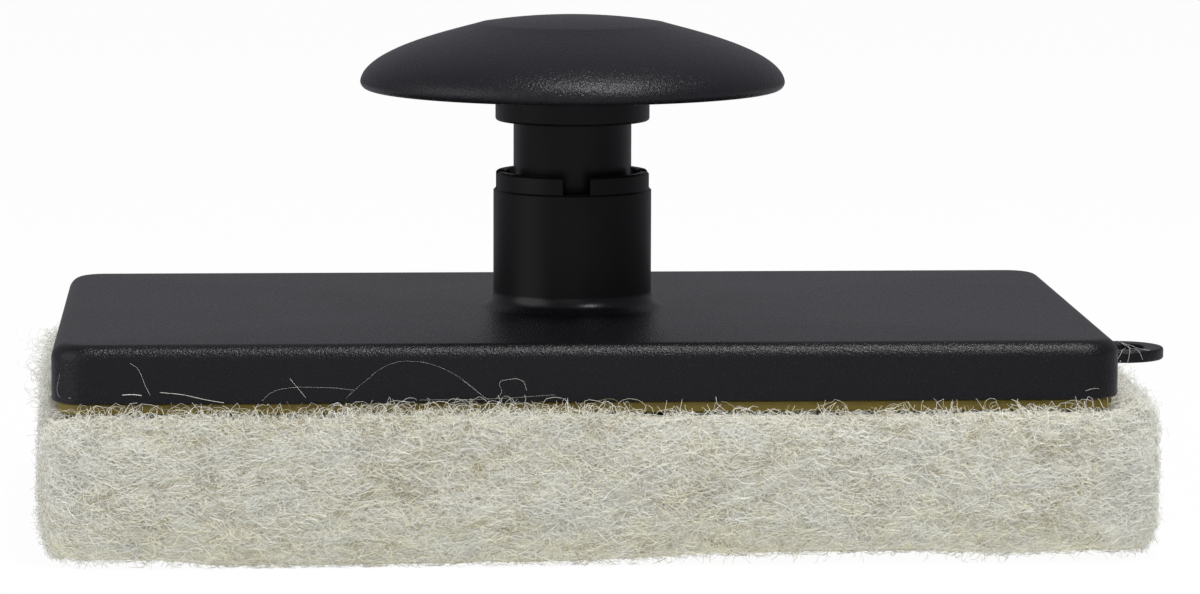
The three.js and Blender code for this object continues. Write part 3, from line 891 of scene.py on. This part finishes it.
# the high shift gives tan strands near the upper edge, painted shade under the plate; the end shift gives
# bright strands at both ends, painted light
toneSizes = {
    "flatten": 2.0, "small": 3.125, "smallWeight": 1.9, "broad": 13.333, "broadWeight": 0.9,
    "lowRange": (17, 3), "lowSpread": 0.45, "lowShift": 0.31, "highRange": (27, 30.5), "paintedShadeShift": 0.08,
    "paintedLightEndRange": (98, 114), "paintedLightEndShift": -0.4}
toneStarts = {"bright": -9.0, "white": 0.35, "cream": 0.68, "tan": 1.05}  # where each tone begins
strandLengths = ["shortest", "longest", "radius", "curl", "curlSize", "ceiling"]
fibreLengths, curlLengths = ["floor"], ["drift", "underRing"]
fibreShares = ["lift", "liftBias", "rise"]


def scatterRoots(tree, given):
    values = {"Mesh": given["Geometry"], "Density": given["density"], "Seed": given["seed"]}
    return geoNode(tree, "DistributePointsOnFaces", values)


def strandLine(tree, given, start, end):
    line = geoNode(tree, "CurvePrimitiveLine", {"Start": (start, 0, 0), "End": (end, 0, 0)})
    return geoNode(tree, "ResampleCurve", {"Curve": line, "Count": given["points"]})


def scatterStrands(tree, given, strand):
    # straight strands, rooted at random, that lie along the face with their ends lifted a little
    seed = given["seed"]
    roots = scatterRoots(tree, given)
    normal = Wire(tree, roots.socket.node.outputs["Normal"])
    heading = addNode(tree, "FunctionNodeRandomValue", {0: (-1, -1, -1), 1: (1, 1, 1), 8: seed + 1},
                      data_type="FLOAT_VECTOR")
    heading = vectorMath("MULTIPLY", heading, together(tree, 1.0, 1.0, given["rise"]))
    outward = vectorMath("DOT_PRODUCT", heading, normal, output="Value")
    lying = vectorMath("SUBTRACT", heading, scaled(normal, outward))
    lift = chance(0.0, 1.0, seed + 2) ** given["liftBias"] * given["lift"]
    course = vectorMath("ADD", vectorMath("NORMALIZE", lying), scaled(normal, lift))
    turn = addNode(tree, "FunctionNodeAlignRotationToVector", {"Vector": course}, axis="X")
    line = strandLine(tree, given, -strand["root"], 1 - strand["root"])
    length = chance(given["shortest"], given["longest"], seed + 3)
    values = {"Points": roots, "Instance": line, "Rotation": turn, "Scale": length}
    strands = geoNode(tree, "InstanceOnPoints", values)
    return geoNode(tree, "RealizeInstances", [strands])


def loopStrands(tree, given, curl):
    # wiry loops rooted on the pad's upper edge: each starts flat, stands up and comes round
    seed = given["seed"]
    line = strandLine(tree, given, 0, curl["start"] * mm)
    roots = scatterRoots(tree, given)
    strands = geoNode(tree, "InstanceOnPoints", {"Points": roots, "Instance": line})
    strands = geoNode(tree, "RealizeInstances", [strands])
    which = geoNode(tree, "CurveOfPoint")
    share = geoNode(tree, "SplineParameter")
    size = chance(given["shortest"], given["longest"], seed + 1, which)
    turn = share * chance(*curl["turns"], seed + 2, which)
    heading = chance(0.0, 2 * math.pi, seed + 3, which)
    drift = share * given["drift"] * chance(*curl["driftShare"], seed + 4, which)
    run = size * curl["run"] * turn.math("SINE") + drift
    sway = size * curl["sway"] * (turn * curl["swayTurn"] + heading).math("SINE")
    rise = size * curl["stand"] * (1 - turn.math("COSINE"))
    across, ahead = heading.math("COSINE"), heading.math("SINE")
    offset = together(tree, run * across - sway * ahead, run * ahead + sway * across, rise)
    return geoNode(tree, "SetPosition", {"Geometry": strands, "Offset": offset})


def curlStrands(tree, given, strands):
    # each strand has a swirl of its own, because its number is the noise's fourth axis
    place = geoNode(tree, "InputPosition")
    which = geoNode(tree, "CurveOfPoint")
    values = {"Vector": place, "W": which * strandSizes["swirlStep"], "Scale": 1 / given["curlSize"],
              "Detail": 1.0}
    swirl = addNode(tree, "ShaderNodeTexNoise", values, "Color", noise_dimensions="4D")
    swirl = scaled(vectorMath("SUBTRACT", swirl, (0.5, 0.5, 0.5)), given["curl"])
    return geoNode(tree, "SetPosition", {"Geometry": strands, "Offset": swirl})


def aroundPlate(tree, given):
    # a point of a strand, how deep it is inside the plate's outline, and whether the ring is above it
    x, y, z = apart(geoNode(tree, "InputPosition"))
    footX, footY, hanger = apart(given["foot"])
    return x, y, z, footX - abs(x), footY - abs(y), (x > 0) * (abs(y) < hanger)


def keepClear(tree, given, strands):
    # nothing goes into the floor, nor into the sheet, the plate and the ring above
    x, y, z, deepX, deepY, ringed = aroundPlate(tree, given)
    covered = ((deepX > 0) * (deepY > 0)).math("MAXIMUM", ringed)
    level = z.math("MAXIMUM", given["floor"]).math("MINIMUM", given["ceiling"] + (1 - covered))
    held = together(tree, x, y, level)
    return geoNode(tree, "SetPosition", {"Geometry": strands, "Position": held})


def keepOutside(tree, given, strands):
    # a loop that would stand in the plate leans on its wall, and one under the ring stays below it
    x, y, z, deepX, deepY, ringed = aroundPlate(tree, given)
    inside = (deepX > 0) * (deepY > 0) * (z > given["ceiling"])
    alongX = deepX < deepY
    outX = x + inside * alongX * deepX * x.math("SIGN")
    outY = y + inside * (1 - alongX) * deepY * y.math("SIGN")
    held = together(tree, outX, outY, z.math("MINIMUM", given["underRing"] + (1 - ringed)))
    return geoNode(tree, "SetPosition", {"Geometry": strands, "Position": held})


def toneStrands(tree, given, strands, tones):
    # creamier low down, duller with tan strands at the upper edge as painted shade under the plate, and
    # brighter at both ends as painted light, with tan in flat patches
    place = geoNode(tree, "InputPosition")
    x, level = apart(place)[::2]
    flat = vectorMath("MULTIPLY", place, (1.0, 1.0, tones["flatten"]))
    low = smoothRange(level, tones["lowRange"], mm)
    tone = chance(0.0, 1.0, given["seed"] + 5)
    tone = tone * (1 - low * tones["lowSpread"]) + low * tones["lowShift"]
    # tan strands near the upper edge: painted shade under the plate
    tone = tone + smoothRange(level, tones["highRange"], mm) * tones["paintedShadeShift"]
    # bright strands at both ends: painted light wrapping round the pad's ends
    tone = tone + smoothRange(abs(x), tones["paintedLightEndRange"], mm) * tones["paintedLightEndShift"]
    for patch, detail in (("small", 2.0), ("broad", 1.0)):
        tone = tone + (noiseAt(flat, tones[patch], detail) - 0.5) * tones[patch + "Weight"]
    capture = tree.nodes.new("GeometryNodeCaptureAttribute")
    capture.domain = "CURVE"
    capture.capture_items.new("FLOAT", "Tone")
    tree.links.new(strands.socket, capture.inputs[0])
    tree.links.new(tone.socket, capture.inputs[1])
    return [Wire(tree, socket) for socket in capture.outputs[:2]]


def closeStrands(tree, given, strands):
    strands, tone = toneStrands(tree, given, strands, toneSizes)
    thin = given["radius"] * (1 - geoNode(tree, "SplineParameter") * strandSizes["taper"])
    profile = geoNode(tree, "CurvePrimitiveCircle", {"Resolution": 3, "Radius": 1.0})
    mesh = geoNode(tree, "CurveToMesh", {"Curve": strands, "Profile Curve": profile, "Scale": thin})
    mesh = geoNode(tree, "SetShadeSmooth", {"Geometry": mesh})
    mesh = geoNode(tree, "RealizeInstances", [mesh])
    for finish, start in toneStarts.items():
        values = {"Geometry": mesh, "Selection": tone > start, "Material": given[finish]}
        mesh = geoNode(tree, "SetMaterial", values)
    addNode(tree, "NodeGroupOutput", [mesh])


def strandTree(name, floats):
    return newTree(name, {"Float": ["density", *strandLengths, *floats], "Int": ["points", "seed"],
                          "Vector": ["foot"], "Material": list(toneStarts)})


def fibreTree():
    tree, given = strandTree("padFibres", fibreLengths + fibreShares)
    strands = curlStrands(tree, given, scatterStrands(tree, given, strandSizes))
    closeStrands(tree, given, keepClear(tree, given, strands))
    return tree


def curlTree():
    tree, given = strandTree("padCurls", curlLengths)
    strands = curlStrands(tree, given, loopStrands(tree, given, curlSizes))
    closeStrands(tree, given, keepOutside(tree, given, strands))
    return tree


def inZone(face, zone):
    # a zone is one side of the pad, or a stretch of its upper edge outside the plate
    if "axis" in zone:
        sides = [Vector(side["axis"]) for side in fibreZones.values()]
        return max(sides, key=face.normal.dot) == Vector(zone["axis"])
    x, y, z = face.calc_center_median() / mm
    outside = abs(x) > zone["foot"][0] or abs(y) > zone["foot"][1]
    return outside and z > zone["above"] and zone["from"] < x <= zone["to"]


def growPatch(tree, name, core, zone):
    bm = bmesh.new()
    bm.from_mesh(core.data)
    bm.normal_update()
    bmesh.ops.delete(bm, geom=[face for face in bm.faces if not inZone(face, zone)], context="FACES")
    area = sum(face.calc_area() for face in bm.faces)
    mesh = bpy.data.meshes.new(name)
    bm.to_mesh(mesh)
    bm.free()
    patch = placed(name, mesh)
    lengths = strandLengths + fibreLengths + curlLengths
    values = {size: value * mm if size in lengths else value for size, value in zone.items()}
    values["density"] = zone["count"] / area
    values["foot"] = [side * mm for side in zone["foot"]]
    grow(patch, tree, {**values, **fibreLooks})
    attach(patch, "pad")
    return len(patch.data.polygons)


def growFibres(core, strand, curl):
    tree, faces, seed = fibreTree(), 0, strand["seed"]
    for name, zone in {**fibreZones, **fringeZones}.items():
        for layer in range(zone["layers"]):
            faces += growPatch(tree, f"padFibres{name}{layer + 1}", core, {**strand, **zone, "seed": seed})
            seed += strand["seedStep"]
    tree = curlTree()
    for name, zone in curlZones.items():
        faces += growPatch(tree, "pad" + name, core, {**strand, **curl, **zone})
    print("pad fibres made,", faces, "faces")


growFibres(padCore, strandSizes, curlSizes)

# stray fibres that cling to the plate's front wall, given as x and z on that wall, and a tuft on the ring
straySizes = {"radius": 0.026, "clear": 0.12, "tuftWeight": 1.4}
strayLines = {
    "shortLeft": (0.8, [(-92.9, 41.6), (-91.4, 40.5), (-89.9, 37.2), (-88.9, 35.1)]),
    "streakStart": (2.2, [(-94.5, 35.1), (-92.6, 35.2), (-90.6, 35.0)]),
    "streak": (1.6, [(-86.9, 35.6), (-82.3, 35.1), (-77.4, 34.0), (-74.0, 33.4)]),
    "cornerLoop": (0.6, [(-107.1, 39.1), (-107.4, 34.6), (-104.8, 34.4)]),
    "tick": (1.0, [(-60.7, 38.3), (-57.5, 34.4)]),
    "lowArc": (0.45, [(-66.3, 33.8), (-64.5, 35.4), (-62.1, 36.2), (-53.4, 36.4), (-47.6, 35.9)]),
    "highArc": (0.32, [(-49.4, 34.2), (-45.7, 37.5), (-40.5, 41.1), (-34.8, 41.6), (-28.3, 39.5),
                       (-20.6, 33.8)]),
    "crossing": (0.5, [(-25.7, 37.8), (-21.0, 33.9)]),
    "loop": (0.7, [(-19.0, 33.9), (-17.9, 35.2), (-18.2, 37.3), (-16.8, 37.8), (-13.7, 37.6),
                   (-12.7, 35.5)]),
    "edgeThread": (0.5, [(-34.4, 33.8), (-21.0, 33.9), (-7.0, 34.7)]),
    "fleck": (0.9, [(101.2, 34.9), (102.6, 35.3), (104.2, 35.3)]),
}
tuftLines = [
    [(118.9, 8.6, 35.75), (119.0, 1.0, 36.0), (118.9, -9.3, 35.75), (118.7, -9.62, 34.6),
     (118.4, -9.62, 33.4)],
    [(118.9, 4.6, 35.85), (120.2, -2.0, 36.0), (121.8, -6.6, 35.8), (123.4, -8.2, 35.75)],
    [(118.9, 2.0, 35.95), (119.8, -5.6, 35.8), (120.9, -9.3, 35.6), (121.7, -9.2, 33.9)],
    [(118.6, -5.4, 35.8), (117.4, -8.4, 35.78), (116.9, -9.6, 35.2), (116.2, -9.65, 34.0)],
]


def onWall(x, z, plate, clear):
    corner = plate["corner"]
    past = max(abs(x) - (plate["length"] / 2 - corner), 0.0)
    turn = corner - math.sqrt(corner ** 2 - past ** 2)
    return (x, -plate["depth"] / 2 - clear + turn, z)


def makeStrays(stray, plate):
    data = bpy.data.curves.new("strayFibres", "CURVE")
    data.dimensions = "3D"
    data.bevel_depth = stray["radius"] * mm
    data.bevel_resolution = 0
    data.resolution_u = 5
    threads = [(stray["tuftWeight"], line) for line in tuftLines]
    for weight, line in strayLines.values():
        threads.append((weight, [onWall(x, z, plate, stray["clear"]) for x, z in line]))
    for weight, points in threads:
        line = data.splines.new("BEZIER")
        line.bezier_points.add(len(points) - 1)
        for knot, point in zip(line.bezier_points, points):
            knot.co = Vector(point) * mm
            knot.radius = weight
            knot.handle_left_type = "AUTO"
            knot.handle_right_type = "AUTO"
    piece = placed("strayFibres", curveMesh(data))
    setFinish(piece, fibreLooks["white"])
    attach(piece, "holder")


makeStrays(straySizes, plateSizes)
print("stray fibres made")

# studio: a pale floor that glows, soft fill all round, and four lamps
studioSizes = {"floorReach": 6000, "floorTone": 0.92, "floorSheen": 0.46, "floorGlow": 0.96, "bounce": 0.22,
               "fill": 0.33, "sheen": 0.235, "sheenTint": (0.98, 0.96, 1.05), "aim": (0, 0, 50)}
lampSizes = {
    "frontLamp": {"place": (506, -993, 1054), "size": 380, "power": 4.7},
    "leftLamp": {"place": (-1200, -500, 500), "size": 1300, "power": 6.4},
    "topLamp": {"place": (200, -400, 1250), "size": 300, "power": 9.0},
    "lowLamp": {"place": (-150, -1500, 260), "size": 1100, "power": 1.0},
}


def rayKinds(tree):
    rays = addNode(tree, "ShaderNodeLightPath").socket.node
    return [Wire(tree, rays.outputs[kind]) for kind in ("Is Camera Ray", "Is Glossy Ray")]


def addFloor(studio):
    bm = bmesh.new()
    reach = studio["floorReach"]
    corners = [(-reach, -reach, 0), (reach, -reach, 0), (reach, reach, 0), (-reach, reach, 0)]
    bm.faces.new(ringOf(bm, corners))
    floor = pieceFrom("studioFloor", bm)
    finish = newFinish("paleFloor")
    tree = finish.node_tree
    seen, glossy = rayKinds(tree)
    pale = rgb(*[studio["floorTone"]] * 3)
    dull = rgb(*[studio["floorSheen"] * tint for tint in studio["sheenTint"]])
    matt = addNode(tree, "ShaderNodeBsdfDiffuse", {"Color": blendColours(glossy, pale, dull)})
    white = addNode(tree, "ShaderNodeEmission", {"Color": rgb(1, 1, 1), "Strength": 1.0})
    glow = (1 - glossy) * studio["bounce"] + seen * (studio["floorGlow"] - studio["bounce"])
    mixed = addNode(tree, "ShaderNodeMixShader", [glow, matt, white])
    addNode(tree, "ShaderNodeOutputMaterial", {"Surface": mixed})
    setFinish(floor, finish)


def addFill(studio):
    world = bpy.data.worlds.new("studioWorld")
    world.use_nodes = True
    tree = world.node_tree
    tree.nodes.clear()
    seen, glossy = rayKinds(tree)
    level = studio["fill"] + seen * (1 - studio["fill"]) + glossy * (studio["sheen"] - studio["fill"])
    tint = blendColours(glossy, rgb(1, 1, 1), rgb(*studio["sheenTint"]))
    back = addNode(tree, "ShaderNodeBackground", {"Color": tint, "Strength": level})
    addNode(tree, "ShaderNodeOutputWorld", {"Surface": back})
    scene.world = world


def addLamp(name, sizes, aim):
    data = bpy.data.lights.new(name, "AREA")
    data.shape = "DISK"
    data.size = sizes["size"] * mm
    data.energy = sizes["power"]
    place = Vector(sizes["place"]) * mm
    turned = (Vector(aim) * mm - place).to_track_quat("-Z", "Y").to_matrix().to_4x4()
    placed(name, data).matrix_world = Matrix.Translation(place) @ turned


addFloor(studioSizes)
addFill(studioSizes)
for lampName, lampSize in lampSizes.items():
    addLamp(lampName, lampSize, studioSizes["aim"])
scene.view_settings.view_transform = "Standard"
print("studio set")
